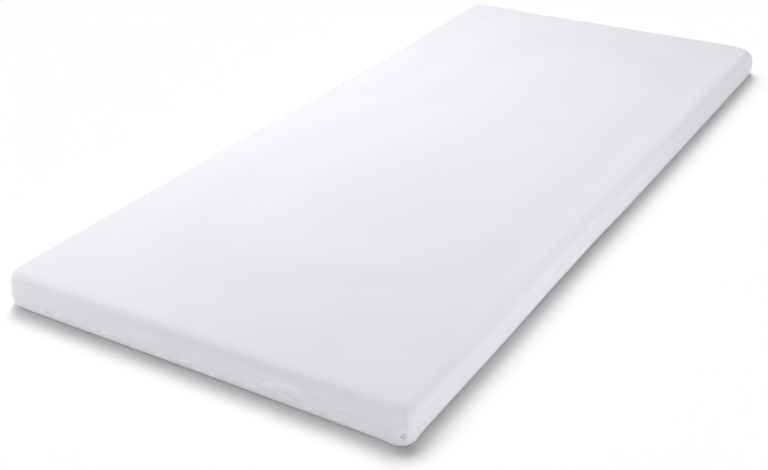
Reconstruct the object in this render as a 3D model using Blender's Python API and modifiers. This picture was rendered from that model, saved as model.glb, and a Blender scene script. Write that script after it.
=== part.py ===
"""Foam mattress in a close-fitting cloth cover, lying flat.

X is the width, Y the length and +Z up. The origin is the middle of the underside.
Two pieces: the filled body (foam in the cover's top and side cloth) and the bottom
panel, a shallow tray of cloth whose rim is sewn to the side cloth just above the
floor. All sizes are in metres.
"""

from collections import namedtuple
from math import copysign, exp, sqrt

import bmesh
import bpy
import numpy as np
from mathutils import Vector

# Driving dimensions
WIDTH = 0.90
LENGTH = 2.00
EDGE_HEIGHT = 0.075        # floor to the top, measured at the sides
CROWN = 0.002              # how much higher the middle of the top is
SIDE_BELLY = 0.0015        # how far the sides swell out at half height
TOP_EDGE_RADIUS = 0.021
CORNER_RADIUS = 0.018
CORNER_STRIP = 0.040       # how far from a corner its easing begins
CORNER_CORE = 0.005        # nearer than this to the corner it eases in full
PANEL_THICKNESS = 0.002    # the bottom panel's cloth, hem included
PANEL_EDGE_RADIUS = 0.007  # how the panel turns up into its rim
FOOT_RADIUS = 0.0055       # rounder than the panel's inside, so the foot sits clear in it
SEAM_HEIGHT = 0.008        # the top of the panel's rim, where the side cloth is sewn to it
SEAM_GROOVE = 0.0012       # height of the groove that the seam draws in above the rim
PIECE_GAP = 0.00035

# How many strips the length and the width are worked in, and the side's own rows
LENGTH_STRIPS = 25
WIDTH_STRIPS = 12
SIDE_ROWS = (0.40, 0.60)   # as shares of the edge height
EDGE_SEGMENTS = 5

# Where the cover pulls a side in: the side, the place along it, how far it reaches, how deep
DrawIn = namedtuple("DrawIn", "side place reach depth")
DRAW_INS = (
    DrawIn("right", -0.44, 0.14, 0.0025),
    DrawIn("right", -0.20, 0.16, 0.0025),
    DrawIn("right", 0.62, 0.20, 0.0008),
    DrawIn("left", 0.36, 0.26, 0.0050),
    DrawIn("left", -0.30, 0.22, 0.0010),
    DrawIn("near", 0.02, 0.22, 0.0010),
    DrawIn("far", 0.05, 0.20, 0.0020),
)

# Where the foot of a side lifts off the floor a little: the place along it, reach, height
Lift = namedtuple("Lift", "side place reach height")
LIFTS = (
    Lift("right", -0.43, 0.13, 0.0020),
    Lift("right", -0.22, 0.14, 0.0025),
    Lift("left", 0.25, 0.16, 0.0015),
)

# Soft rises and hollows of the top: the place, how far it reaches, how high (or deep)
Relief = namedtuple("Relief", "x y reach height")
RELIEFS = (
    Relief(-0.45, 1.00, 0.12, 0.0030),
    Relief(0.45, 1.00, 0.14, -0.0030),
    Relief(-0.45, 0.36, 0.24, -0.0025),
    Relief(0.10, -0.45, 0.30, 0.0010),
    Relief(-0.12, 0.10, 0.28, -0.0010),
    Relief(0.16, 0.55, 0.30, 0.0008),
    Relief(0.30, -0.85, 0.16, -0.0012),
)

# How far each corner is eased inwards along its diagonal, by height: most at the top
Easing = namedtuple("Easing", "height depth")
CORNER_EASING = (
    Easing(SEAM_HEIGHT, 0.0085),
    Easing(0.030, 0.0046),
    Easing(0.045, 0.0046),
    Easing(EDGE_HEIGHT, 0.0120),
)

CLOTH_COLOUR = (0.86, 0.83, 0.89, 1.0)
PANEL_COLOUR = (0.83, 0.80, 0.85, 1.0)


def swell(distance, reach):
    """A smooth bump that is 1 in its middle and fades out beyond its reach."""
    return exp(-(distance / reach) ** 2)


def drawn_in(side, place):
    """How far the cover pulls this side in at this place along it."""
    return sum(row.depth * swell(place - row.place, row.reach)
               for row in DRAW_INS if row.side == side)


def top_rise(x, y):
    """The crown and the soft relief of the top at this place."""
    arch = (1 - (2 * x / WIDTH) ** 2) * (1 - (2 * y / LENGTH) ** 2)
    relief = sum(row.height * swell(Vector((x - row.x, y - row.y)).length, row.reach)
                 for row in RELIEFS)
    return CROWN * max(arch, 0.0) + relief


def foot_lift(x, y):
    """How far the foot is off the floor: only the outermost strip beside a side lifts."""
    side = "right" if x > 0 else "left"
    strip = WIDTH / WIDTH_STRIPS
    nearness = max(0.0, (abs(x) - (WIDTH / 2 - strip)) / strip)
    return nearness * sum(row.height * swell(y - row.place, row.reach)
                          for row in LIFTS if row.side == side)


def corner_easing(point):
    """How far this point moves inwards along X and along Y, so that corners are rounder."""
    heights = [row.height for row in CORNER_EASING]
    depth = np.interp(point.z, heights, [row.depth for row in CORNER_EASING])
    for place, half in ((point.x, WIDTH / 2), (point.y, LENGTH / 2)):
        from_corner = half - SIDE_BELLY - abs(place)
        depth *= np.interp(from_corner, (CORNER_CORE, CORNER_STRIP), (1.0, 0.0))
    return depth / sqrt(2)


def shaped(point):
    """Where a point of the plain box goes: the foot and the panel lift as one."""
    side = "right" if point.x > 0 else "left"
    end = "far" if point.y > 0 else "near"
    pull_x = drawn_in(side, point.y) / (WIDTH / 2)
    pull_y = drawn_in(end, point.x) / (LENGTH / 2)
    foot_top = SEAM_HEIGHT + PIECE_GAP
    share = max(0.0, (point.z - foot_top) / (EDGE_HEIGHT - foot_top))
    rise = top_rise(point.x, point.y) * share + foot_lift(point.x, point.y) * (1 - share)
    ease = corner_easing(point)
    return Vector((point.x * (1 - pull_x) - copysign(ease, point.x),
                   point.y * (1 - pull_y) - copysign(ease, point.y), point.z + rise))


def material(name, colour):
    """Plain matt cloth."""
    made = bpy.data.materials.new(name)
    made.use_nodes = True
    shader = made.node_tree.nodes["Principled BSDF"]
    shader.inputs["Base Color"].default_value = colour
    shader.inputs["Roughness"].default_value = 0.9
    shader.inputs["Metallic"].default_value = 0.0
    made.diffuse_color = colour
    return made


def stations(span, strips):
    """The inner cuts that divide a span about its middle into equal strips."""
    return [span * (step / strips - 0.5) for step in range(1, strips)]


def cut_across(mesh, axis, places):
    """Cut the whole mesh with planes square to an axis."""
    normal = Vector((0, 0, 0))
    normal[axis] = 1
    for place in places:
        everything = mesh.verts[:] + mesh.edges[:] + mesh.faces[:]
        bmesh.ops.bisect_plane(mesh, geom=everything, plane_co=normal * place, plane_no=normal)


def gridded_box(half_width, half_length, low, high):
    """A box from one height to another, cut into the cloth's strips."""
    mesh = bmesh.new()
    bmesh.ops.create_cube(mesh, size=1.0)
    bmesh.ops.scale(mesh, vec=(2 * half_width, 2 * half_length, high - low), verts=mesh.verts)
    bmesh.ops.translate(mesh, vec=(0, 0, (low + high) / 2), verts=mesh.verts)
    cut_across(mesh, 0, stations(WIDTH, WIDTH_STRIPS))
    cut_across(mesh, 1, stations(LENGTH, LENGTH_STRIPS))
    for axis, span in ((0, WIDTH), (1, LENGTH)):
        place = span / 2 - SIDE_BELLY - CORNER_STRIP
        cut_across(mesh, axis, [-place, place])
    return mesh


def weigh_box_edges(mesh, low, high, weights):
    """Give the box's own edges their rounding: top, upright, bottom and foot uprights."""
    layer = mesh.edges.layers.float.new("bevel_weight_edge")
    near = 1e-5
    half_width = max(vert.co.x for vert in mesh.verts)
    half_length = max(vert.co.y for vert in mesh.verts)
    for edge in mesh.edges:
        ends = [vert.co for vert in edge.verts]
        on_side = all(abs(abs(co.x) - half_width) < near for co in ends)
        on_end = all(abs(abs(co.y) - half_length) < near for co in ends)
        if on_side and on_end:
            below_seam = max(co.z for co in ends) < SEAM_HEIGHT + PIECE_GAP + near
            edge[layer] = weights["foot upright" if below_seam else "upright"]
        elif all(abs(co.z - high) < near for co in ends) and (on_side or on_end):
            edge[layer] = weights["top"]
        elif all(abs(co.z - low) < near for co in ends) and (on_side or on_end):
            edge[layer] = weights["bottom"]


def finish_object(mesh, name, colour, collection, round_width):
    """Turn the worked mesh into a named object with its rounding and its material."""
    mesh.normal_update()
    data = bpy.data.meshes.new(name)
    mesh.to_mesh(data)
    mesh.free()
    data.shade_smooth()
    data.materials.append(material(name, colour))
    made = bpy.data.objects.new(name, data)
    collection.objects.link(made)
    rounding = made.modifiers.new("rounding", "BEVEL")
    rounding.limit_method = "WEIGHT"
    rounding.width = round_width
    rounding.segments = EDGE_SEGMENTS
    return made


def mattress_body(collection):
    """The filled body: crowned top, swelling sides, and a foot that sits in the panel."""
    inset = PANEL_THICKNESS + PIECE_GAP
    low = inset
    half_width = WIDTH / 2 - SIDE_BELLY
    half_length = LENGTH / 2 - SIDE_BELLY
    foot_top = SEAM_HEIGHT + PIECE_GAP
    mesh = gridded_box(half_width, half_length, low, EDGE_HEIGHT)
    cut_across(mesh, 2, [foot_top, foot_top + SEAM_GROOVE]
               + [EDGE_HEIGHT * share for share in SIDE_ROWS])
    weigh_box_edges(mesh, low, EDGE_HEIGHT,
                    {"top": 1.0,
                     "upright": CORNER_RADIUS / TOP_EDGE_RADIUS,
                     "foot upright": CORNER_RADIUS / TOP_EDGE_RADIUS,
                     "bottom": FOOT_RADIUS / TOP_EDGE_RADIUS})
    near = 1e-5
    for vert in mesh.verts:
        share = vert.co.z / EDGE_HEIGHT
        outward = 0.0
        if vert.co.z < foot_top + near:
            outward = -inset
        elif SIDE_ROWS[0] - near < share < SIDE_ROWS[-1] + near:
            outward = SIDE_BELLY
        for axis, half in ((0, half_width), (1, half_length)):
            if abs(vert.co[axis]) > half - near:
                vert.co[axis] *= (half + outward) / half
        vert.co = shaped(vert.co)
    return finish_object(mesh, "mattress_body", CLOTH_COLOUR, collection, TOP_EDGE_RADIUS)


def bottom_panel(collection):
    """The shallow tray below: a flat sheet that turns up into the rim at the seam."""
    mesh = gridded_box(WIDTH / 2 - SIDE_BELLY, LENGTH / 2 - SIDE_BELLY, 0.0, SEAM_HEIGHT)
    weigh_box_edges(mesh, 0.0, SEAM_HEIGHT,
                    {"top": 0.0,
                     "upright": CORNER_RADIUS / PANEL_EDGE_RADIUS,
                     "foot upright": CORNER_RADIUS / PANEL_EDGE_RADIUS,
                     "bottom": 1.0})
    lids = [face for face in mesh.faces if face.normal.z > 0.5]
    bmesh.ops.delete(mesh, geom=lids, context="FACES")
    for vert in mesh.verts:
        vert.co = shaped(vert.co)
    panel = finish_object(mesh, "bottom_panel", PANEL_COLOUR, collection, PANEL_EDGE_RADIUS)
    cloth = panel.modifiers.new("cloth", "SOLIDIFY")
    cloth.thickness = PANEL_THICKNESS
    cloth.offset = -1
    cloth.use_even_offset = True
    return panel


def main():
    for old in list(bpy.data.objects):
        bpy.data.objects.remove(old)
    collection = bpy.data.collections.new("foam_mattress")
    bpy.context.scene.collection.children.link(collection)
    mattress_body(collection)
    bottom_panel(collection)


main()
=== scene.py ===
"""The looks of a thin foam mattress in a smooth, close-fitting pale cloth cover.

The cover is worked as a fine lattice over a plain box. The lattice is rounded, given its
creases and much the same unevenness as the solids, and last moved as a cloth simulation of
the same shape swells. The bottom panel is a thin tray of its own.
"""

import math
import random
from collections import namedtuple

import bmesh
import bpy
import numpy as np
from mathutils import Matrix, Vector
from mathutils.kdtree import KDTree


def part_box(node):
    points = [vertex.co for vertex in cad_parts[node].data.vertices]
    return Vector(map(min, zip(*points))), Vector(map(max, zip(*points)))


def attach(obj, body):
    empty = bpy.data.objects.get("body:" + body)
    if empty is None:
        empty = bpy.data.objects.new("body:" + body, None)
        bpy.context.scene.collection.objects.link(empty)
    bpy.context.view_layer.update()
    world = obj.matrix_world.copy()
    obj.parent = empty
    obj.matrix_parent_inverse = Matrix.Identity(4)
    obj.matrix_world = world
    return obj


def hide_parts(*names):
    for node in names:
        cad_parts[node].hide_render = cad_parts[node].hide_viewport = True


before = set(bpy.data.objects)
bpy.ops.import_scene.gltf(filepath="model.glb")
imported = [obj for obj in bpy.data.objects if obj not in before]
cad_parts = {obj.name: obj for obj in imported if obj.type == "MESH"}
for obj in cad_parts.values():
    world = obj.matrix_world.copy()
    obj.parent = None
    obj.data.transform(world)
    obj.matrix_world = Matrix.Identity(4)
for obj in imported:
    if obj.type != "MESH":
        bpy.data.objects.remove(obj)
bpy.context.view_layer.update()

# ---- Sizes, in metres --------------------------------------------------------
MM = 0.001
TINY = 1e-7                        # places this close count as the same
NOTHING = 1e-9                     # keeps a division from being by zero

BODY_LOW, BODY_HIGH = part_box("mattress_body")
WIDTH = BODY_HIGH[0] - BODY_LOW[0]
LENGTH = BODY_HIGH[1] - BODY_LOW[1]
FOOT = BODY_LOW[2]                 # the body's lowest level, just over the bottom panel

# The driving sizes are the solids' own, but for the corners' rounder radius
TOP = 0.075                        # the level of the top at its edges
CROWN = 0.002
SIDE_BELLY = 0.0015
TOP_RADIUS = 0.021
CORNER_RADIUS = 0.030              # in plan; the easings below change it with the height
FOOT_RADIUS = 0.0055
PANEL_THICKNESS = 0.002
SEAM = 0.008                       # the top of the panel's rim
HALF_WIDTH = WIDTH / 2 - SIDE_BELLY
HALF_LENGTH = LENGTH / 2 - SIDE_BELLY
LIFT_STRIP = WIDTH / 12            # the outermost strip, where the foot can lift

# The working lattice
COLUMN_SPACING = 0.0056            # between the columns of a side, away from its ends
COARSE_STEPS = 4                   # the middle of the top is this many times coarser
EDGE_LINES = 10                    # lines round each half of a corner, and in the top's rim
FLAT_MARGIN = 0.042                # width of the finely worked rim of the top
MARGIN_LINES = 2                   # lines between the rim's rounding and the middle
FOOT_ROWS = 3                      # rows round the foot's rounding
TOP_ROWS = 7                       # rows on the side's half of the rounding of the top
SEAM_ROWS = (0.2, 0.3, 0.6, 1.2, 1.9, 2.8, 3.8)    # just above the seam, in millimetres
SIDE_ROWS = 26                     # rows between those and the rounding of the top
MERGE_DIGITS = 7                   # decimals that tell the lattice's corners apart

SEED = 41                          # for the creases that are left to chance

# ---- The unevenness, much as the solids have it ------------------------------
# Places where a side is drawn in, or stands out where the depth is negative
DrawIn = namedtuple("DrawIn", "side place reach depth")
DRAW_INS = (
    DrawIn("right", -0.44, 0.14, 0.0014),
    DrawIn("right", -0.20, 0.16, 0.0014),
    DrawIn("right", 0.62, 0.30, -0.0010),
    DrawIn("left", 0.36, 0.26, 0.0050),
    DrawIn("left", -0.30, 0.22, 0.0010),
    DrawIn("near", 0.02, 0.22, 0.0010),
    DrawIn("far", 0.05, 0.20, 0.0020),
)

# Places where the foot of a side lifts
Lift = namedtuple("Lift", "side place reach height")
LIFTS = (
    Lift("right", -0.43, 0.12, 0.0014),
    Lift("right", -0.22, 0.13, 0.0022),
    Lift("left", 0.25, 0.16, 0.0015),
)

# Relief of the top. Its inner part is softer than the solids': it would show too much
Relief = namedtuple("Relief", "x y reach height")
RELIEFS = (
    Relief(-0.45, 1.00, 0.12, 0.0030),
    Relief(0.45, 1.00, 0.16, -0.0022),
    Relief(-0.45, 0.36, 0.30, -0.0012),
    Relief(0.10, -0.45, 0.34, 0.0004),
    Relief(-0.12, 0.10, 0.34, -0.0004),
    Relief(0.16, 0.55, 0.34, 0.0004),
    Relief(0.30, -0.85, 0.20, -0.0008),
)

# How far each corner moves inwards along its diagonal, in millimetres, at five heights
EASING_HEIGHTS = (0.0, 0.022, 0.038, 0.055, TOP)
Easing = namedtuple("Easing", "across along foot low middle upper top")
EASINGS = (
    Easing("left", "near", 2.6, -3.2, -0.4, 0.8, 0.8),
    Easing("right", "near", -4.6, -4.0, -3.0, -0.5, 3.0),
    Easing("right", "far", 2.6, -1.5, -2.6, 3.5, 14.0),
    Easing("left", "far", 2.2, -0.6, -1.6, 0.4, 6.2),
)
EASING_REACH = 0.030

# ---- Creases, in millimetres -------------------------------------------------
# Each runs from one place along a side, at one height, to another place and height. A trough
# has a positive depth and a ridge a negative one. bow is how far the line bends.
Crease = namedtuple("Crease", "side along height end_along end_height bow width depth")
NEAR_CREASES = (
    # tucks and folds that rise from the bottom seam
    (-320, 9, -297, 25, 3, 2.2, -0.75),
    (-314, 9, -290, 22, 3, 2.6, 0.40),
    (-357, 11, -340, 10, 0, 1.8, -0.45),
    (-276, 19, -262, 18, 1, 1.8, -0.50),
    (-231, 14, -216, 19, 0, 1.9, -0.80),
    (-229, 18, -213, 23, 0, 2.2, 0.35),
    (-202, 15, -184, 19, 1, 1.9, -0.70),
    (-220, 7, -194, 21, 2, 2.2, 0.40),
    (-222, 10, -212, 8, 0, 1.6, -0.60),
    (-153, 9, -142, 17, 0, 1.8, -0.60),
    (-148, 8, -138, 14, 0, 2.0, 0.35),
    (-121, 11, -104, 10, 0, 1.6, -0.55),
    (-63, 10, -50, 10, 0, 1.6, -0.55),
    (-50, 16, -42, 16, 0, 2.0, 0.50),
    (-26, 25, -12, 28, 0, 1.9, 0.35),
    (-14, 17, 12, 19, 1, 1.9, -0.60),
    (9, 10, 38, 11, 0, 1.6, -0.55),
    (47, 9, 73, 10, 0, 1.6, -0.45),
    (139, 16, 152, 21, 0, 2.0, -0.70),
    (253, 10, 261, 15, 0, 1.8, -0.55),
    (240, 16, 259, 21, 1, 2.0, -0.60),
    (310, 11, 325, 11, 0, 1.7, -0.50),
    (342, 10, 390, 8, -1, 2.0, -0.50),
    (355, 12, 373, 14, 0, 1.9, -0.50),
    # long soft ripples where the cover is slack, right of the middle
    (160, 29, 210, 39, 3, 4.0, -1.00),
    (158, 37, 212, 46, 3, 4.0, 0.80),
    (195, 33, 264, 20, -4, 3.6, 0.95),
    (200, 26, 262, 14, -3, 3.4, -0.55),
    (164, 44, 248, 41, 3, 4.4, -0.90),
    (262, 43, 352, 37, -3, 4.2, 0.75),
    (306, 33, 342, 37, 2, 3.6, -0.80),
    # two soft dents in the rounding of the top, above them
    (276, 68, 316, 74, 2, 2.8, 0.50),
    (318, 75, 350, 62, 4, 6.5, 0.80),
    # broad, shallow unevenness of the near side
    (-420, 44, -330, 20, 5, 9.0, 0.70),
    (-340, 56, -240, 34, 6, 10.0, -0.60),
    (-262, 62, -150, 46, -6, 11.0, 0.70),
    (-150, 30, -60, 44, 6, 10.0, -0.60),
    (-90, 60, 20, 40, 5, 10.0, 0.60),
    (20, 30, 120, 50, -5, 11.0, -0.50),
    (96, 58, 190, 56, 4, 9.0, 0.50),
    (360, 52, 425, 26, 4, 8.0, 0.60),
)
RIGHT_CREASES = (
    # puckers that rise from the bottom seam
    (-905, 12, -893, 16, 0, 1.9, 0.60),
    (-868, 11, -850, 13, 0, 1.8, -0.50),
    (-742, 12, -720, 16, 1, 2.0, 0.60),
    (-640, 11, -604, 24, 4, 2.4, 0.90),
    (-616, 10, -584, 20, 3, 2.4, -0.80),
    (-590, 14, -566, 19, 0, 2.2, 0.80),
    (-470, 16, -448, 15, 1, 2.2, 0.55),
    (-300, 15, -268, 26, 3, 2.4, 0.80),
    (-282, 12, -240, 21, 3, 2.4, -0.80),
    (-236, 20, -214, 24, 1, 2.4, 0.80),
    (-150, 12, -112, 22, 3, 2.4, 0.75),
    (-70, 10, -40, 16, 2, 2.2, -0.60),
    (250, 12, 290, 18, 2, 2.6, 0.55),
    # broad, shallow unevenness of the right side
    (-860, 48, -700, 40, 6, 11.0, 0.60),
    (-560, 40, -400, 50, -6, 12.0, -0.60),
    (-330, 52, -150, 44, 6, 12.0, 0.60),
    (10, 46, 210, 40, 6, 12.0, -0.50),
    (330, 50, 560, 40, 8, 13.0, 0.60),
)

CREASE_GAIN = 1.5                  # all creases are this much deeper than listed

# How many more creases each side gets by chance, as a share of the most
CHANCE_CREASES = (("near", 0.45), ("right", 1.0), ("far", 1.0), ("left", 1.0))

# The middle of the tack that closes the seam near the near right corner, in millimetres
TACK_ALONG = 441
TACK_HEIGHT = 21


# ---- The lattice -------------------------------------------------------------
def arc_steps(radius, rows):
    """Distances from a rounding's centre line that turn into evenly spaced angles."""
    return [radius * math.tan(math.radians(45) * row / rows) for row in range(rows + 1)]


def level_lines(half):
    """Lattice lines across one span, close at both rounded ends; also the middle's own."""
    inner = half - CORNER_RADIUS
    rim = [inner + step for step in arc_steps(CORNER_RADIUS, EDGE_LINES)]
    middle_half = half - FLAT_MARGIN
    count = 2 * COARSE_STEPS * round(middle_half / COLUMN_SPACING / COARSE_STEPS)
    middle = np.linspace(-middle_half, middle_half, count + 1)
    between = np.linspace(middle_half, inner, MARGIN_LINES + 2)[1:-1]
    upper = np.concatenate([between, rim])
    return np.concatenate([-upper[::-1], middle, upper]), middle


class Lattice:
    """Collects faces by the places of their corners, and joins the corners that meet."""

    def __init__(self):
        self.corners = []
        self.faces = []
        self.known = {}
        self.xs, self.middle_xs = level_lines(HALF_WIDTH)
        self.ys, self.middle_ys = level_lines(HALF_LENGTH)

    def vertex(self, x, y, z):
        key = (round(x, MERGE_DIGITS), round(y, MERGE_DIGITS), round(z, MERGE_DIGITS))
        if key not in self.known:
            self.known[key] = len(self.corners)
            self.corners.append(key)
        return self.known[key]

    def patch(self, us, vs, place):
        """A grid of quads; place(u, v) gives a corner, and faces turn by u cross v."""
        grid = [[self.vertex(*place(u, v)) for v in vs] for u in us]
        for a, b in zip(grid, grid[1:]):
            for k in range(len(vs) - 1):
                self.faces.append((a[k], b[k], b[k + 1], a[k + 1]))

    def coarse_middle(self, us, vs, fine_us, fine_vs, place):
        """Large cells whose outermost ones also take the fine lines' corners."""
        def between(line, start, end):
            low, high = min(start, end), max(start, end)
            found = [t for t in line if low + TINY < t < high - TINY]
            return sorted(found, reverse=start > end)

        for i, (u0, u1) in enumerate(zip(us, us[1:])):
            for j, (v0, v1) in enumerate(zip(vs, vs[1:])):
                corners = [(u0, v0)]
                if j == 0:
                    corners += [(t, v0) for t in between(fine_us, u0, u1)]
                corners.append((u1, v0))
                if i == len(us) - 2:
                    corners += [(u1, t) for t in between(fine_vs, v0, v1)]
                corners.append((u1, v1))
                if j == len(vs) - 2:
                    corners += [(t, v1) for t in between(fine_us, u1, u0)]
                corners.append((u0, v1))
                if i == 0:
                    corners += [(u0, t) for t in between(fine_vs, v1, v0)]
                self.faces.append(tuple(self.vertex(*place(u, v)) for u, v in corners))

    def plate(self, level, face_down=False):
        """The top, or the underside: a finely worked rim round a coarse middle."""
        us, middle_us, vs, middle_vs = self.xs, self.middle_xs, self.ys, self.middle_ys

        def place(u, v):
            return (v, u, level) if face_down else (u, v, level)

        if face_down:
            us, middle_us, vs, middle_vs = vs, middle_vs, us, middle_us

        self.patch(us, vs[vs <= middle_vs[0] + TINY], place)
        self.patch(us, vs[vs >= middle_vs[-1] - TINY], place)
        self.patch(us[us <= middle_us[0] + TINY], middle_vs, place)
        self.patch(us[us >= middle_us[-1] - TINY], middle_vs, place)
        self.coarse_middle(middle_us[::COARSE_STEPS], middle_vs[::COARSE_STEPS],
                           middle_us, middle_vs, place)

    def sides(self, zs):
        """The four sides between the given levels."""
        xs, ys = self.xs, self.ys
        self.patch(xs, zs, lambda x, z: (x, -HALF_LENGTH, z))
        self.patch(xs[::-1], zs, lambda x, z: (x, HALF_LENGTH, z))
        self.patch(ys, zs, lambda y, z: (HALF_WIDTH, y, z))
        self.patch(ys[::-1], zs, lambda y, z: (-HALF_WIDTH, y, z))

    def floor_polygon(self, level):
        """One many-cornered face that closes the foot."""
        xs, ys = self.xs, self.ys
        around = [(x, -HALF_LENGTH) for x in xs[:-1]]
        around += [(HALF_WIDTH, y) for y in ys[:-1]]
        around += [(x, HALF_LENGTH) for x in xs[:0:-1]]
        around += [(-HALF_WIDTH, y) for y in ys[:0:-1]]
        self.faces.append(tuple(self.vertex(x, y, level) for x, y in reversed(around)))

    def points(self):
        return np.array(self.corners)


def body_lattice(seam_rows, side_rows):
    """The body's whole box: its foot, any rows just above the seam, its sides and its top."""
    foot = [FOOT + FOOT_RADIUS - step for step in arc_steps(FOOT_RADIUS, FOOT_ROWS)][::-1]
    lower = foot + [SEAM + row * MM for row in seam_rows]
    top = [TOP - TOP_RADIUS + step for step in arc_steps(TOP_RADIUS, TOP_ROWS)]
    side = np.linspace(lower[-1], top[0], side_rows + 2)[1:-1]
    lattice = Lattice()
    lattice.sides(np.concatenate([lower, side, top]))
    lattice.plate(TOP)
    lattice.floor_polygon(foot[0])
    return lattice


# ---- The form ----------------------------------------------------------------
def rounded(points, low, high, foot_radii, top_radii):
    """Pull a box's points onto its roundings. The radii are pairs, across and upright.

    Also gives the level and upright parts of the points' outward directions."""
    limit = np.array([HALF_WIDTH, HALF_LENGTH]) - CORNER_RADIUS
    inner = np.clip(points[:, :2], -limit, limit)
    across = points[:, :2] - inner
    length = np.linalg.norm(across, axis=1, keepdims=True)
    level = np.divide(across, length, out=np.zeros_like(across), where=length > NOTHING)
    inset = CORNER_RADIUS - np.abs(across).max(axis=1)
    z = points[:, 2].copy()
    sideways = np.where(inset < TINY, 1.0, 0.0)
    upward = np.where(z > high - TINY, 1.0, 0.0) - np.where(z < low + TINY, 1.0, 0.0)
    for (wide, tall), edge, sign in ((foot_radii, low, -1), (top_radii, high, 1)):
        out = np.clip(1 - inset / wide, 0, 1)
        up = np.clip(1 - (edge - z) * sign / tall, 0, 1)
        bent = (out > 0) & (up > 0)
        size = np.where(bent, np.hypot(out, up), 1.0)
        inset = np.where(bent, wide * (1 - out / size), inset)
        z = np.where(bent, edge - sign * tall * (1 - up / size), z)
        sideways = np.where(bent, out / size, sideways)
        upward = np.where(bent, sign * up / size, upward)
    places = np.column_stack([inner + level * (CORNER_RADIUS - inset)[:, None], z])
    return places, level * sideways[:, None], upward


def swell(distance, reach):
    """A smooth bump that is 1 in its middle and fades out beyond its reach."""
    return np.exp(-(distance / reach) ** 2)


def drawn_in(side, along):
    """How far a side is drawn in, by the place along it."""
    return sum(row.depth * swell(along - row.place, row.reach)
               for row in DRAW_INS if row.side == side)


def top_rise(x, y):
    """The top's crown and relief."""
    arch = (1 - (2 * x / WIDTH) ** 2) * (1 - (2 * y / LENGTH) ** 2)
    relief = sum(row.height * swell(np.hypot(x - row.x, y - row.y), row.reach)
                 for row in RELIEFS)
    return CROWN * np.clip(arch, 0, None) + relief


def foot_lift(side, x, y):
    """How far the foot lifts, growing over the outermost strip."""
    nearness = np.clip((np.abs(x) - (WIDTH / 2 - LIFT_STRIP)) / LIFT_STRIP, 0, None)
    return nearness * sum(row.height * swell(y - row.place, row.reach)
                          for row in LIFTS if row.side == side)


def eased(places):
    """Give each corner its own roundness, by height."""
    out = np.abs(places[:, :2]) - [HALF_WIDTH, HALF_LENGTH]
    nearness = swell(np.linalg.norm(out + CORNER_RADIUS * (1 - math.sqrt(0.5)), axis=1),
                     EASING_REACH)
    right, far = places[:, 0] > 0, places[:, 1] > 0
    moved = places.copy()
    for row in EASINGS:
        here = (right == (row.across == "right")) & (far == (row.along == "far"))
        depths = np.interp(places[here, 2], EASING_HEIGHTS, row[2:]) * MM * nearness[here]
        moved[here, :2] -= np.sign(places[here, :2]) * (depths / math.sqrt(2))[:, None]
    return moved


def settled(places):
    """Give plain places their unevenness, much as the solids have it."""
    places = eased(places)
    x, y, z = places.T
    right, far = x > 0, y > 0
    pull_x = np.where(right, drawn_in("right", y), drawn_in("left", y)) / (WIDTH / 2)
    pull_y = np.where(far, drawn_in("far", x), drawn_in("near", x)) / (LENGTH / 2)
    lift = np.where(right, foot_lift("right", x, y), foot_lift("left", x, y))
    share = np.clip((z - SEAM) / (TOP - SEAM), 0, None)
    rise = top_rise(x, y) * share + lift * (1 - share)
    return np.column_stack([x * (1 - pull_x), y * (1 - pull_y), z + rise])


# How far the side cloth stands out, by height: foot in the panel, seam, belly, top edge
SIDE_LEVELS = (0.0, SEAM + 0.2 * MM, SEAM + 0.3 * MM, SEAM + 0.6 * MM, SEAM + 1.4 * MM,
               SEAM + 3 * MM, 0.020, 0.037, 0.056, TOP)
SIDE_STANDS = (-2.35 * MM, -2.35 * MM, 1.1 * MM, 1.45 * MM, 1.65 * MM,
               1.7 * MM, 1.6 * MM, SIDE_BELLY, 0.9 * MM, 0.0)


def plain_cover(points):
    """The cover without creases, from box points."""
    places, level, upward = rounded(points, FOOT, TOP, (FOOT_RADIUS, FOOT_RADIUS),
                                    (TOP_RADIUS, TOP_RADIUS))
    stand = np.interp(places[:, 2], SIDE_LEVELS, SIDE_STANDS)
    places[:, :2] += level * stand[:, None]
    return places, np.column_stack([level, upward])


def side_point(side, along, height):
    """A box point on one side, from millimetres along it and up it."""
    if side in ("near", "far"):
        return along * MM, HALF_LENGTH * (1 if side == "far" else -1), height * MM
    return HALF_WIDTH * (1 if side == "right" else -1), along * MM, height * MM


FADED_OUT = 3                      # nothing is left of a crease beyond this many widths


def crease_field(places, crease):
    """How far one crease moves each place along its outward direction."""
    ends, outward = plain_cover(np.array([
        side_point(crease.side, crease.along, crease.height),
        side_point(crease.side, crease.end_along, crease.end_height)]))
    start, chord = ends[0], ends[1] - ends[0]
    length = np.linalg.norm(chord)
    facing = outward.sum(axis=0)
    across = np.cross(facing, chord)
    across /= np.linalg.norm(across)
    width = crease.width * MM
    margin = FADED_OUT * width + abs(crease.bow) * MM
    low, high = ends.min(axis=0) - margin, ends.max(axis=0) + margin
    near = np.all((places > low) & (places < high), axis=1)
    share = np.clip((places[near] - start) @ chord / length ** 2, 0, 1)
    hump = 4 * share * (1 - share)
    line = start + share[:, None] * chord + (crease.bow * MM * hump)[:, None] * across
    distance = np.linalg.norm(places[near] - line, axis=1)
    field = np.zeros(len(places))
    push = -crease.depth * CREASE_GAIN * MM
    field[near] = push * np.sqrt(hump) * swell(distance, width)
    return field


CORNER_CLEARANCE = 25              # chance creases begin this far from a corner, in millimetres


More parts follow.
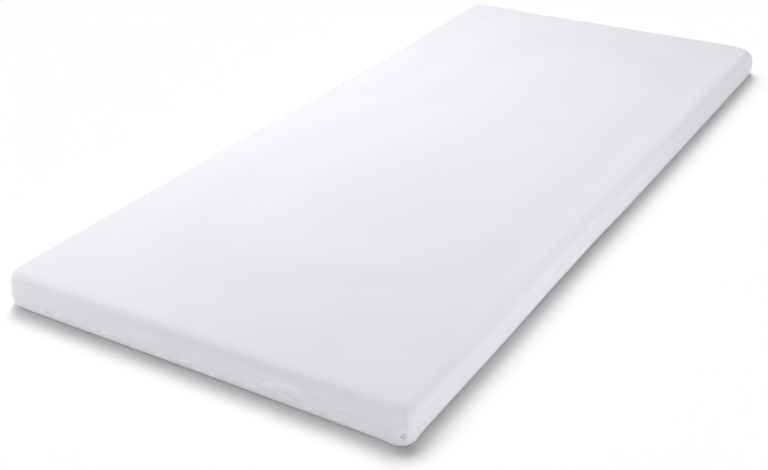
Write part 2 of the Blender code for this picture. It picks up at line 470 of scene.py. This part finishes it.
def chance_puckers(side, share, half, dice):
    """Small puckers that rise from the bottom seam, some with a nick beside them."""
    made = []
    along = -half
    while along < half:
        along += dice.uniform(14, 60) / share
        lean, rise = dice.uniform(-9, 9), dice.uniform(5, 15)
        depth = dice.uniform(0.25, 0.60) * dice.choice((1, 1, -1))
        made.append(Crease(side, along, 9.5, along + lean, 10 + rise,
                           dice.uniform(-2, 2), dice.uniform(2.2, 3.4), depth))
        if dice.random() < 0.6:
            start = along + dice.uniform(-18, 18)
            level = dice.uniform(10.5, 17)
            made.append(Crease(side, start, level, start + dice.uniform(7, 18),
                               level + dice.uniform(-1.5, 3), 0, 1.8,
                               dice.uniform(0.30, 0.60) * dice.choice((1, -1))))
    return made


def chance_ripples(side, share, half, dice):
    """A few long, soft ripples above the puckers."""
    made = []
    along = -half + dice.uniform(0, 120)
    while along < half:
        reach = dice.uniform(50, 130)
        level = dice.uniform(24, 56)
        made.append(Crease(side, along, level, along + reach, level + dice.uniform(-12, 12),
                           dice.uniform(-5, 5), dice.uniform(5, 10),
                           dice.uniform(0.25, 0.60) * dice.choice((1, -1))))
        along += dice.uniform(90, 220) / share
    return made


def all_creases():
    """The creases in the tables, and those left to chance."""
    dice = random.Random(SEED)
    made = [Crease("near", *row) for row in NEAR_CREASES]
    made += [Crease("right", *row) for row in RIGHT_CREASES]
    for side, share in CHANCE_CREASES:
        half = 1000 * (HALF_WIDTH if side in ("near", "far") else HALF_LENGTH) - CORNER_CLEARANCE
        made += chance_puckers(side, share, half, dice)
        made += chance_ripples(side, share, half, dice)
    return made


CORNER_SEAM_DEPTH = 0.9 * MM
CORNER_SEAM_WIDTH = 3.4 * MM
CORNER_SEAM_FOOT, CORNER_SEAM_TOP = 0.020, 0.073
CORNER_SEAM_FADES = 0.020, 0.014   # over these heights it fades in and out
CORNER_SEAM_FROM = 0.010           # it starts this far from the corner's centre line


def corner_seams(places):
    """The cover's upright seam at each corner, which ends below the rounding of the top."""
    centre = np.array([HALF_WIDTH, HALF_LENGTH]) - CORNER_RADIUS
    out = np.abs(places[:, :2]) - centre
    beside = (out[:, 0] - out[:, 1]) / math.sqrt(2)
    outward = (out[:, 0] + out[:, 1]) / math.sqrt(2)
    z = places[:, 2]
    fade_in, fade_out = CORNER_SEAM_FADES
    upright = (np.clip((z - CORNER_SEAM_FOOT) / fade_in, 0, 1)
               * np.clip((CORNER_SEAM_TOP - z) / fade_out, 0, 1))
    reach = np.clip((outward - CORNER_SEAM_FROM) / CORNER_SEAM_FROM, 0, 1)
    return -CORNER_SEAM_DEPTH * swell(beside, CORNER_SEAM_WIDTH) * upright * reach


DIMPLE_DEPTH, DIMPLE_REACH = 1.3 * MM, 5.0 * MM
PUFF_HEIGHT, PUFF_RADIUS, PUFF_WIDTH = 0.5 * MM, 9 * MM, 3 * MM


def tack_dimple(places):
    """The cloth drawn in under the tack, and slightly puffed in a ring round it."""
    place, _ = plain_cover(np.array([side_point("near", TACK_ALONG, TACK_HEIGHT)]))
    distance = np.linalg.norm(places - place, axis=1)
    return (PUFF_HEIGHT * swell(distance - PUFF_RADIUS, PUFF_WIDTH)
            - DIMPLE_DEPTH * swell(distance, DIMPLE_REACH))


SEAM_WAVER, SEAM_WAVER_REACH = 0.3 * MM, 5 * MM


def seam_waver(places):
    """The bottom seam isn't quite level: it wanders up and down by about half a millimetre."""
    x, y, z = places.T
    wave = (np.sin(19 * x + 23 * y) + 0.7 * np.sin(47 * y - 41 * x + 1.3)
            + 0.5 * np.sin(103 * x + 97 * y + 0.4))
    return SEAM_WAVER * wave * swell(z - SEAM, SEAM_WAVER_REACH)


TOP_WAVES = 0.07 * MM
TOP_WAVES_FROM, TOP_WAVES_FADE = 0.055, 0.02       # the level they start at, and grow over


def top_waves(places):
    """Very slight, wide undulation of the top."""
    x, y, z = places.T
    wave = (np.sin(11 * x + 5 * y + 0.6) * np.sin(7 * y - 3 * x)
            + 0.6 * np.sin(23 * x - 9 * y + 2.0) * np.sin(15 * y + 8 * x + 1.0))
    return TOP_WAVES * wave * np.clip((z - TOP_WAVES_FROM) / TOP_WAVES_FADE, 0, 1)


# ---- How the cover swells: a cloth simulation --------------------------------
SIM_ROWS = 10                      # rows of the sides of the plain body that is copied
SIM_VOXEL = 0.006                  # the even spacing of the simulated copy
SIM_SMALLER = 0.4 * MM             # it starts this much smaller, since it swells
SIM_BAND = 0.070                   # the foam holds everything further in than this
SIM_UNDER_RIM = 0.012              # the copy's underside reaches only this far in
SIM_UNDER_LEVEL = SEAM + 2 * MM    # what lies lower than this is the underside
SIM_HELD_FOOT = 0.014              # the seam holds everything below this
SIM_FREE = 0.03                    # the foam holds more and more from this far in
SIM_LOOSEST = 0.03                 # the least that a point is held, as a share
SIM_TIGHTER = 0.22                 # and how much more where the filling is tight
SIM_HOLD_STEPS = 20                # the shares are rounded to this many steps
SIM_FRAMES = 20
SIM_PRESSURE = 4.0
SIM_CAP = 1.6 * MM                 # no point moves further than this
SIM_NEIGHBOURS = 5                 # a place moves like the mean of this many near it


def inset_from_sides(points):
    """How far in from the nearest side each point lies."""
    return np.minimum(HALF_WIDTH - np.abs(points[:, 0]), HALF_LENGTH - np.abs(points[:, 1]))


def mesh_points(data):
    flat = np.empty(len(data.vertices) * 3)
    data.vertices.foreach_get("co", flat)
    return flat.reshape(-1, 3)


class Swelling:
    """A remeshed copy of the body's rim is inflated as cloth, held by its foam and seams.

    It keeps where each point of the copy started and how far it moved."""

    def __init__(self, points, faces):
        copy = mesh_object("swelling_copy", points, faces)
        self.remesh(copy)
        self.start = mesh_points(copy.data)
        self.moves = self.inflate(copy)
        data = copy.data
        bpy.data.objects.remove(copy)
        bpy.data.meshes.remove(data)
        self.tree = KDTree(len(self.start))
        for index, point in enumerate(self.start):
            self.tree.insert(point, index)
        self.tree.balance()

    def remesh(self, copy):
        """Even out the copy's mesh and keep only its sides and rim."""
        even = copy.modifiers.new("even", "REMESH")
        even.mode = "VOXEL"
        even.voxel_size = SIM_VOXEL
        evaluated = copy.evaluated_get(bpy.context.evaluated_depsgraph_get())
        coarse = copy.data
        copy.data = bpy.data.meshes.new_from_object(evaluated)
        copy.modifiers.clear()
        bpy.data.meshes.remove(coarse)
        points = mesh_points(copy.data)
        inset = inset_from_sides(points)
        under = (points[:, 2] < SIM_UNDER_LEVEL) & (inset > SIM_UNDER_RIM)
        mesh = bmesh.new()
        mesh.from_mesh(copy.data)
        mesh.verts.ensure_lookup_table()
        gone = [mesh.verts[k] for k in np.flatnonzero((inset > SIM_BAND) | under)]
        bmesh.ops.delete(mesh, geom=gone, context="VERTS")
        mesh.to_mesh(copy.data)
        mesh.free()

    def holds(self):
        """How firmly each point is held, from 0 to 1: the filling is tighter in places."""
        x, y, z = self.start.T
        tight = 0.5 + 0.3 * np.sin(19 * x + 14 * y) + 0.2 * np.sin(8 * x - 11 * y + 1.0)
        inwards = np.clip((inset_from_sides(self.start) - SIM_FREE) / SIM_FREE, 0, 1)
        held = np.clip(SIM_LOOSEST + SIM_TIGHTER * tight + inwards, 0, 1)
        return np.where(z < SIM_HELD_FOOT, 1.0, held)

    def inflate(self, copy):
        """Run the cloth and give each point's movement, capped."""
        group = copy.vertex_groups.new(name="held")
        steps = np.round(self.holds() * SIM_HOLD_STEPS) / SIM_HOLD_STEPS
        for step in np.unique(steps):
            group.add(np.flatnonzero(steps == step).tolist(), float(step), "REPLACE")
        cloth = copy.modifiers.new("cloth", "CLOTH")
        cloth.settings.quality = 4
        cloth.settings.mass = 0.2
        cloth.settings.use_pressure = True
        cloth.settings.uniform_pressure_force = SIM_PRESSURE
        cloth.settings.vertex_group_mass = "held"
        cloth.settings.bending_stiffness = 3.0
        cloth.settings.effector_weights.gravity = 0
        cloth.collision_settings.use_collision = False
        cloth.point_cache.frame_start = 1
        cloth.point_cache.frame_end = SIM_FRAMES
        for moment in range(1, SIM_FRAMES + 1):
            bpy.context.scene.frame_set(moment)
        evaluated = copy.evaluated_get(bpy.context.evaluated_depsgraph_get())
        moves = mesh_points(evaluated.data) - self.start
        copy.modifiers.clear()
        bpy.context.scene.frame_set(1)
        far = np.linalg.norm(moves, axis=1, keepdims=True)
        return moves * np.minimum(1, SIM_CAP / np.maximum(far, NOTHING))

    def carry(self, places):
        """Move places as the copy's nearest points moved."""
        free = (inset_from_sides(places) < SIM_BAND) & (places[:, 2] > SEAM)
        moved = places.copy()
        for index in np.flatnonzero(free):
            found = self.tree.find_n(places[index], SIM_NEIGHBOURS)
            weights = np.array([1 / (distance + MM) for _, _, distance in found])
            moves = self.moves[[k for _, k, _ in found]]
            moved[index] += weights @ moves / weights.sum()
        return moved


def make_swelling():
    """The swelling of the plain body, without its creases."""
    lattice = body_lattice((), SIM_ROWS)
    places, outward = plain_cover(lattice.points())
    return Swelling(settled(places - outward * SIM_SMALLER), lattice.faces)


# Folds narrower than this, in millimetres, get more painted shade and ridge highlight than wide
# ones do
SHARP_FOLD = 2.6
SHARP_FOLD_POWER = 1.5
SHARP_FOLD_MOST = 2


def cover_surface(points, creases, swelling):
    """The finished cover's places and outward directions from box points, and the fold depths
    that its painted shade and highlight follow.
    """
    places, outward = plain_cover(points)
    push = corner_seams(places) + tack_dimple(places)
    # The same depths set the painted shade in troughs, corner seams and the tack's dimple, and
    # the painted highlight on ridges; sharp creases count more
    painted_fold_shading = push.copy()
    for crease in creases:
        field = crease_field(places, crease)
        push += field
        painted_fold_shading += field * min(SHARP_FOLD_MOST, (SHARP_FOLD / crease.width) ** SHARP_FOLD_POWER)
    push += top_waves(places)
    lift = seam_waver(places)
    places = places + outward * push[:, None]
    places[:, 2] += lift
    return swelling.carry(settled(places)), outward, painted_fold_shading


# ---- Pieces ------------------------------------------------------------------
def mesh_object(name, points, faces):
    """A smooth-shaded object from points and faces."""
    data = bpy.data.meshes.new(name)
    data.from_pydata([tuple(p) for p in points], [], faces)
    data.validate()
    data.shade_smooth()
    made = bpy.data.objects.new(name, data)
    bpy.context.scene.collection.objects.link(made)
    return made


PAINTED_FOLD_SHADE_ATTRIBUTE = "relief"                  # the attribute that carries the painted fold shade and ridge highlight


def make_body(creases, swelling):
    """The filled body: foam in its top and side cloth."""
    lattice = body_lattice(SEAM_ROWS, SIDE_ROWS)
    points, _, painted_fold_shading = cover_surface(lattice.points(), creases, swelling)
    body = mesh_object("cover_and_filling", points, lattice.faces)
    # Fold depths in millimetres, which set the cover's painted fold shade and ridge highlight
    relief = body.data.attributes.new(PAINTED_FOLD_SHADE_ATTRIBUTE, "FLOAT", "POINT")
    relief.data.foreach_set("value", painted_fold_shading / MM)
    body.data.materials.append(cover_cloth())
    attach(body, "root")
    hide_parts("mattress_body")
    return body


LIP = 1.7 * MM                     # how far the rim's sewn lip stands proud
LIP_TOP = 1.0 * MM                 # the height over which it does so in full
LIP_FADE = 2.8 * MM                # and how quickly it fades out below
TURN_UNDER = 0.0055                # how far in the rim's rounding begins
TURN_RISE = 0.0040                 # and how high it ends
TURN_ROWS, RIM_ROWS = 4, 5
RIM_EDGE = (0.4 * MM, 1e-6)        # the rim's upper edge is left almost sharp


def make_panel():
    """The bottom panel: a thin tray whose rim ends in the sewn lip."""
    lattice = Lattice()
    turn = [TURN_RISE - step for step in arc_steps(TURN_RISE, TURN_ROWS)][::-1]
    lattice.sides(np.concatenate([turn, np.linspace(TURN_RISE, SEAM, RIM_ROWS + 1)[1:]]))
    lattice.plate(0.0, face_down=True)
    places, level, _ = rounded(lattice.points(), 0.0, SEAM, (TURN_UNDER, TURN_RISE), RIM_EDGE)
    lip = LIP * swell(np.clip(SEAM - LIP_TOP - places[:, 2], 0, None), LIP_FADE)
    places[:, :2] += level * lip[:, None]
    places[:, 2] += seam_waver(places)
    panel = mesh_object("underside_panel", settled(places), lattice.faces)
    cloth = panel.modifiers.new("cloth", "SOLIDIFY")
    cloth.thickness = PANEL_THICKNESS
    cloth.offset = -1
    panel.data.materials.append(panel_cloth())
    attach(panel, "root")
    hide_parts("bottom_panel")
    return panel


THREAD_SIDES = 6
NO_THREAD = (0.37, 0.21, 0.90)     # a direction that no thread runs in


def tube(points, radius):
    """Points and faces of one closed length of thread along a line of points."""
    sides = THREAD_SIDES
    points = np.asarray(points)
    along = np.gradient(points, axis=0)
    along /= np.linalg.norm(along, axis=1, keepdims=True)
    aside = np.cross(along, NO_THREAD)
    aside /= np.linalg.norm(aside, axis=1, keepdims=True)
    other = np.cross(along, aside)
    angles = np.arange(sides) * 2 * math.pi / sides
    rings = (points[:, None] + radius * (np.cos(angles)[None, :, None] * aside[:, None]
                                         + np.sin(angles)[None, :, None] * other[:, None]))
    faces = []
    for ring in range(len(points) - 1):
        for k in range(sides):
            a, b = ring * sides + k, ring * sides + (k + 1) % sides
            faces.append((a, b, b + sides, a + sides))
    last = (len(points) - 1) * sides
    faces.append(tuple(reversed(range(sides))))
    faces.append(tuple(range(last, last + sides)))
    return rings.reshape(-1, 3), faces


def threads(name, lines, radius):
    """One object of many separate lengths of thread."""
    points, faces, start = [], [], 0
    for line in lines:
        ring_points, ring_faces = tube(line, radius)
        points.append(ring_points)
        faces += [tuple(corner + start for corner in face) for face in ring_faces]
        start += len(ring_points)
    made = mesh_object(name, np.concatenate(points), faces)
    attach(made, "root")
    return made


STITCH_LENGTH = 3.4 * MM
STITCH_PITCH = 5.0 * MM
STITCH_HEIGHT = SEAM + 2.4 * MM
STITCH_RADIUS = 0.26 * MM
# Shares of a stitch's length, and how far it stands out there, in millimetres
STITCH_SHAPE = ((0.0, -0.30), (0.2, 0.05), (0.5, 0.12), (0.8, 0.05), (1.0, -0.30))


def make_stitches(creases, swelling):
    """The row of stitches that holds the side cloth to the panel's rim."""
    corners = [(-HALF_WIDTH, -HALF_LENGTH), (HALF_WIDTH, -HALF_LENGTH),
               (HALF_WIDTH, HALF_LENGTH), (-HALF_WIDTH, HALF_LENGTH)]
    gap = (1 - STITCH_LENGTH / STITCH_PITCH) / 2
    box_points, stands = [], []
    for start, end in zip(corners, corners[1:] + corners[:1]):
        start, end = np.array(start), np.array(end)
        span = np.linalg.norm(end - start)
        count = round(span / STITCH_PITCH)
        for k in range(count):
            for share, stand in STITCH_SHAPE:
                run = (k + gap + share * STITCH_LENGTH / STITCH_PITCH) / count
                box_points.append((*(start + (end - start) * run), STITCH_HEIGHT))
                stands.append(stand * MM)
    places, outward, _ = cover_surface(np.array(box_points), creases, swelling)
    places += outward * np.array(stands)[:, None]
    lines = places.reshape(-1, len(STITCH_SHAPE), 3)
    row = threads("seam_stitches", lines, STITCH_RADIUS)
    row.data.materials.append(twisted_thread("pale_thread", (0.86, 0.83, 0.90)))
    return row


# The tack's three bars, in millimetres from its middle: start and end, along and up
TACK_STROKES = (((-5.2, -0.8), (-2.0, 1.8)), ((0.4, -3.8), (5.0, -2.0)),
                ((0.8, 3.6), (3.8, 5.2)))
TACK_TURNS = (-0.7, 0.0, 0.7)      # each bar's turns of thread lie this far along from it
TACK_POINTS = 7                    # points along each turn
TACK_ARCH = 0.9                    # how far a turn's middle stands out from its ends
TACK_SUNK = 0.3                    # and how far its ends lie under the cloth
TACK_RADIUS = 0.42 * MM


def make_tack(creases, swelling):
    """The tack over the seam's end: three short bars, each of a few turns of thread."""
    lines = []
    for (u0, v0), (u1, v1) in TACK_STROKES:
        for turn in TACK_TURNS:
            points = []
            for share in np.linspace(0, 1, TACK_POINTS):
                along = TACK_ALONG + u0 + (u1 - u0) * share + turn
                height = TACK_HEIGHT + v0 + (v1 - v0) * share
                points.append(side_point("near", along, height))
            places, outward, _ = cover_surface(np.array(points), creases, swelling)
            arch = np.sin(np.linspace(0, math.pi, TACK_POINTS)) * TACK_ARCH - TACK_SUNK
            lines.append(places + outward * (arch * MM)[:, None])
    tack = threads("corner_tack", lines, TACK_RADIUS)
    # The thread's dark grey is partly painted shade, for the shaded pits of the gathered cloth
    # round the tack
    tack.data.materials.append(twisted_thread("tack_thread_painted_shade", (0.36, 0.32, 0.39)))
    return tack


# ---- Materials ---------------------------------------------------------------
class Nodes:
    """A small helper that adds a material's nodes and joins them."""

    def __init__(self, name):
        self.material = bpy.data.materials.new(name)
        self.material.use_nodes = True
        self.tree = self.material.node_tree
        self.shader = self.tree.nodes["Principled BSDF"]
        self.place = self.add("ShaderNodeTexCoord").outputs["Object"]

    def add(self, kind, **settings):
        node = self.tree.nodes.new(kind)
        for name, value in settings.items():
            setattr(node, name, value)
        return node

    def link(self, out, into):
        self.tree.links.new(out, into)

    def noise(self, scale, detail=2.0, roughness=0.5):
        node = self.add("ShaderNodeTexNoise")
        node.inputs["Scale"].default_value = scale
        node.inputs["Detail"].default_value = detail
        node.inputs["Roughness"].default_value = roughness
        self.link(self.place, node.inputs["Vector"])
        return node.outputs["Fac"]

    def bands(self, direction, period, waver):
        """Fine parallel ribs, one for each period in metres."""
        node = self.add("ShaderNodeTexWave", wave_type="BANDS", bands_direction=direction)
        node.inputs["Scale"].default_value = 2 * math.pi / 20 / period
        node.inputs["Distortion"].default_value = waver
        node.inputs["Detail"].default_value = 1.0
        node.inputs["Detail Scale"].default_value = 0.4
        self.link(self.place, node.inputs["Vector"])
        return node.outputs["Fac"]

    def maths(self, operation, first, second):
        node = self.add("ShaderNodeMath", operation=operation)
        for socket, value in zip(node.inputs, (first, second)):
            if isinstance(value, (int, float)):
                socket.default_value = value
            else:
                self.link(value, socket)
        return node.outputs[0]

    def ramp(self, factor, low, high, from_low=0.3, from_high=0.7):
        """Carry a factor's range over to the range from low to high."""
        node = self.add("ShaderNodeMapRange")
        node.inputs["From Min"].default_value = from_low
        node.inputs["From Max"].default_value = from_high
        node.inputs["To Min"].default_value = low
        node.inputs["To Max"].default_value = high
        self.link(factor, node.inputs["Value"])
        return node.outputs["Result"]

    def blend(self, factor, first, second):
        """Mix two colours, or a colour and a socket."""
        node = self.add("ShaderNodeMix", data_type="RGBA")
        self.link(factor, node.inputs["Factor"])
        for name, value in (("A", first), ("B", second)):
            socket = [s for s in node.inputs if s.name == name and s.type == "RGBA"][0]
            if isinstance(value, tuple):
                socket.default_value = (*value, 1.0)
            else:
                self.link(value, socket)
        return [s for s in node.outputs if s.type == "RGBA"][0]

    def bump(self, height, strength, distance, under=None):
        node = self.add("ShaderNodeBump")
        node.inputs["Strength"].default_value = strength
        node.inputs["Distance"].default_value = distance
        self.link(height, node.inputs["Height"])
        if under is not None:
            self.link(under, node.inputs["Normal"])
        return node.outputs["Normal"]


FOLD_PAINTED_SHADE = 0.94                  # painted shade: the cloth's colour is multiplied by this in a fold
RIDGE_PAINTED_HIGHLIGHT = 1.12                 # painted highlight: the colour is multiplied by this on a ridge
RIB_PAINTED_SHADES = (0.975, 1.01)         # painted shade between the fine ribs, and a barely lighter colour on them
FUZZ_SHADES = (0.97, 1.01)
ROUGHNESSES = (0.84, 0.95)


def woven(name, pale, deep, period, sheen, with_painted_fold_shade=False):
    """Close matt cloth: fine ribs along each axis with painted shade between them, a little fuzz
    and a slightly uneven dye. The cover's cloth also gets painted shade in its folds and a
    painted highlight on its ridges.

    The ribs have one period, in metres."""
    nodes = Nodes(name)
    shader = nodes.shader
    ribs = nodes.maths("ADD", nodes.bands("X", period, 1.2), nodes.bands("Y", period, 1.2))
    ribs = nodes.maths("ADD", ribs, nodes.bands("Z", period, 1.2))
    ribs = nodes.maths("MULTIPLY", ribs, 1 / 3)
    fuzz = nodes.noise(900, detail=3)
    cloudy = nodes.blend(nodes.ramp(nodes.noise(15, detail=4, roughness=0.6), 0, 1), pale, deep)
    flecks_and_painted_shade = nodes.maths("MULTIPLY", nodes.ramp(fuzz, *FUZZ_SHADES),
                          nodes.ramp(ribs, *RIB_PAINTED_SHADES))
    # Painted shade in the folds and painted highlight on the ridges, from the body's fold depths
    if with_painted_fold_shade:
        painted_fold_shading = nodes.add("ShaderNodeAttribute", attribute_name=PAINTED_FOLD_SHADE_ATTRIBUTE).outputs["Fac"]
        painted_shade_in_folds = nodes.ramp(painted_fold_shading, FOLD_PAINTED_SHADE, 1, from_low=-1, from_high=0)
        painted_highlight_on_ridges = nodes.ramp(painted_fold_shading, 1, RIDGE_PAINTED_HIGHLIGHT, from_low=0, from_high=1)
        flecks_and_painted_shade = nodes.maths("MULTIPLY", nodes.maths("MULTIPLY", flecks_and_painted_shade, painted_shade_in_folds), painted_highlight_on_ridges)
    colour_with_painted_shade = nodes.add("ShaderNodeVectorMath", operation="SCALE")
    nodes.link(cloudy, colour_with_painted_shade.inputs[0])
    nodes.link(flecks_and_painted_shade, colour_with_painted_shade.inputs["Scale"])
    nodes.link(colour_with_painted_shade.outputs[0], shader.inputs["Base Color"])
    nodes.link(nodes.ramp(nodes.noise(60), *ROUGHNESSES), shader.inputs["Roughness"])
    slack = nodes.bump(nodes.noise(38, detail=2), 0.20, 0.0010)
    nap = nodes.bump(fuzz, 0.25, 0.0003, slack)
    nodes.link(nodes.bump(ribs, 0.40, 0.0003, nap), shader.inputs["Normal"])
    shader.inputs["Sheen Weight"].default_value = sheen
    shader.inputs["Sheen Roughness"].default_value = 0.55
    shader.inputs["Specular IOR Level"].default_value = 0.25
    return nodes.material


def cover_cloth():
    return woven("cover_cloth", (0.892, 0.857, 0.920), (0.878, 0.853, 0.918),
                 period=0.0011, sheen=0.06, with_painted_fold_shade=True)


# The panel's cloth is painted lighter than the cover's: painted light on the rim and its lip
def panel_cloth():
    return woven("panel_cloth", (0.925, 0.892, 0.945), (0.905, 0.876, 0.932),
                 period=0.0016, sheen=0.03)


def twisted_thread(name, colour):
    """Thread with its twist: fine slanting bands of painted shade in its grooves, and its bump.
    """
    nodes = Nodes(name)
    twist = nodes.bands("DIAGONAL", 0.0006, 0.5)
    shade = tuple(0.8 * part for part in colour)
    nodes.link(nodes.blend(twist, shade, colour), nodes.shader.inputs["Base Color"])
    nodes.link(nodes.bump(twist, 0.5, 0.0002), nodes.shader.inputs["Normal"])
    nodes.shader.inputs["Roughness"].default_value = 0.7
    nodes.shader.inputs["Sheen Weight"].default_value = 0.1
    return nodes.material


# ---- Stage: floor, light and camera ------------------------------------------
# The camera's place is in metres, and its angles are in degrees
CAMERA_PLACE = (1.1934, -2.2864, 1.1834)
CAMERA_TURN = 31.292               # to the left of looking along +Y
CAMERA_DIP = 28.056                # below level
CAMERA_ROLL = -0.726
CAMERA_LENS = 54.74                # millimetres, on the usual 36 mm sensor

FLOOR_HALF = 30.0                  # half the floor's width
DOME_RADIUS = 28.0
DOME_SEGMENTS, DOME_RINGS = 48, 24
FLOOR_WHITE = 0.80
FLOOR_GLOW = 0.045                 # the floor gives a little light of its own
SKY = 0.200                        # soft light from all round

# Lamps are placed by where they shine from, in degrees. turn is round the mattress: 0 is
# from -Y, 90 from +X and 180 from +Y. rise is how high they stand. Some suns light only the
# floor or only the mattress, and all soft boxes light only the mattress.
SUN_DISTANCE = 5.0                 # any distance gives the same light
Sun = namedtuple("Sun", "name turn rise angle strength falls_on")
SUNS = (
    Sun("low_back_on_floor", 215, 45, 20, 1.240, "floor"),
    Sun("back_left_on_floor", 230, 60, 20, 0.950, "floor"),
    Sun("left_on_floor", 262, 45, 25, 0.760, "floor"),
    Sun("back_on_floor", 200, 60, 20, 0.690, "floor"),
    Sun("high_right", 80, 50, 30, 0.466, "mattress"),
    Sun("overhead", 0, 88, 60, 0.335, "mattress"),
    Sun("high_front", 345, 50, 30, 0.205, "mattress"),
    Sun("front_left", 325, 15, 30, 0.200, "all"),
    Sun("back", 200, 55, 14, 0.200, "all"),
    Sun("front", 345, 20, 30, 0.100, "all"),
    Sun("right", 80, 12, 30, 0.100, "all"),
)

SoftBox = namedtuple("SoftBox", "name turn rise distance size aim power")
SOFT_BOXES = (
    SoftBox("box_over_left", 265, 66, 2.4, (0.8, 1.2), (-0.35, 0.15, 0), 33.0),
    SoftBox("box_front_left", 300, 25, 1.4, (0.6, 0.5), (-0.45, -0.9, 0), 4.60),
    SoftBox("box_right", 80, 14, 1.2, (0.7, 0.4), (0.45, -0.3, 0), 3.40),
    SoftBox("box_far_right", 95, 40, 1.3, (0.6, 0.6), (0.45, 0.8, 0), 0.90),
)

# Narrow strips of light that lie on the floor along the near end and the right side. They
# give the foot of both sides the light that a white floor throws up and the shadow takes away.
FLOOR_STRIP_WIDTH = 0.015
FLOOR_STRIP_GAP = 0.004            # between a strip and the side
FLOOR_STRIP_LEVEL = 0.5 * MM       # just above the floor
FLOOR_STRIP_POWER = 1.4            # in watts for each square metre


def floor_strips():
    """The strips as soft boxes that shine from straight below, but lie above their aims."""
    out = FLOOR_STRIP_GAP + FLOOR_STRIP_WIDTH / 2
    x, y = HALF_WIDTH + out, HALF_LENGTH + out
    made = []
    for name, aim, size in (("strip_near", (0, -y, 0), (2 * x, FLOOR_STRIP_WIDTH)),
                            ("strip_right", (x, 0, 0), (FLOOR_STRIP_WIDTH, 2 * y))):
        power = FLOOR_STRIP_POWER * size[0] * size[1]
        made.append(SoftBox(name, 0, -90, -FLOOR_STRIP_LEVEL, size, aim, power))
    return made


def make_camera():
    data = bpy.data.cameras.new("camera")
    data.lens = CAMERA_LENS
    camera = bpy.data.objects.new("camera", data)
    camera.matrix_world = (Matrix.Translation(CAMERA_PLACE)
                           @ Matrix.Rotation(math.radians(CAMERA_TURN), 4, "Z")
                           @ Matrix.Rotation(math.radians(90 - CAMERA_DIP), 4, "X")
                           @ Matrix.Rotation(math.radians(CAMERA_ROLL), 4, "Z"))
    bpy.context.scene.collection.objects.link(camera)
    bpy.context.scene.camera = camera


def plain_paint(name, white, glow):
    """Matt paint that can also give some white light of its own."""
    paint = bpy.data.materials.new(name)
    paint.use_nodes = True
    shader = paint.node_tree.nodes["Principled BSDF"]
    shader.inputs["Base Color"].default_value = (white, white, white, 1)
    shader.inputs["Roughness"].default_value = 1.0
    shader.inputs["Specular IOR Level"].default_value = 0.0
    shader.inputs["Emission Color"].default_value = (1, 1, 1, 1)
    shader.inputs["Emission Strength"].default_value = glow
    return paint


def make_floor():
    """A white floor, and a white dome behind it that only the camera sees."""
    half = FLOOR_HALF
    floor = mesh_object("floor", [(-half, -half, 0), (half, -half, 0), (half, half, 0),
                                  (-half, half, 0)], [(0, 1, 2, 3)])
    floor.data.materials.append(plain_paint("pale_floor", FLOOR_WHITE, FLOOR_GLOW))
    bpy.ops.mesh.primitive_uv_sphere_add(segments=DOME_SEGMENTS, ring_count=DOME_RINGS,
                                         radius=DOME_RADIUS)
    dome = bpy.context.object
    dome.name = "backdrop"
    dome.data.materials.append(plain_paint("backdrop_white", 0.0, 1.0))
    dome.visible_diffuse = False
    dome.visible_glossy = False
    dome.visible_shadow = False
    return floor


def group_of(name, objects):
    """A collection that a lamp can be limited to."""
    made = bpy.data.collections.new(name)
    for one in objects:
        made.objects.link(one)
    return made


def lamp(name, kind, turn, rise, distance, aim, only_on):
    """A lamp that shines on its aim from a direction given in degrees."""
    data = bpy.data.lights.new(name, kind)
    made = bpy.data.objects.new(name, data)
    made.light_linking.receiver_collection = only_on
    turn, rise = math.radians(turn), math.radians(rise)
    away = Vector((math.sin(turn) * math.cos(rise), -math.cos(turn) * math.cos(rise),
                   math.sin(rise)))
    made.location = Vector(aim) + away * distance
    made.rotation_euler = away.to_track_quat("Z", "Y").to_euler()
    made.visible_camera = False
    bpy.context.scene.collection.objects.link(made)
    return data


def make_light(floor, pieces):
    """The sky's soft light, the suns and the soft boxes."""
    world = bpy.data.worlds.new("studio")
    world.use_nodes = True
    sky = world.node_tree.nodes["Background"]
    sky.inputs["Color"].default_value = (1, 1, 1, 1)
    sky.inputs["Strength"].default_value = SKY
    bpy.context.scene.world = world
    groups = {"all": None, "floor": group_of("floor_only", [floor]),
              "mattress": group_of("mattress_only", pieces)}
    for row in SUNS:
        data = lamp(row.name, "SUN", row.turn, row.rise, SUN_DISTANCE, (0, 0, 0),
                    groups[row.falls_on])
        data.angle = math.radians(row.angle)
        data.energy = row.strength
    for row in SOFT_BOXES + tuple(floor_strips()):
        data = lamp(row.name, "AREA", row.turn, row.rise, row.distance, row.aim,
                    groups["mattress"])
        data.shape = "RECTANGLE"
        data.size, data.size_y = row.size
        data.energy = row.power


bpy.context.scene.view_settings.view_transform = "Standard"
studio_floor = make_floor()
make_camera()
listed_creases = all_creases()
plain_swelling = make_swelling()
mattress = [make_body(listed_creases, plain_swelling), make_panel(),
            make_stitches(listed_creases, plain_swelling),
            make_tack(listed_creases, plain_swelling)]
make_light(studio_floor, mattress)
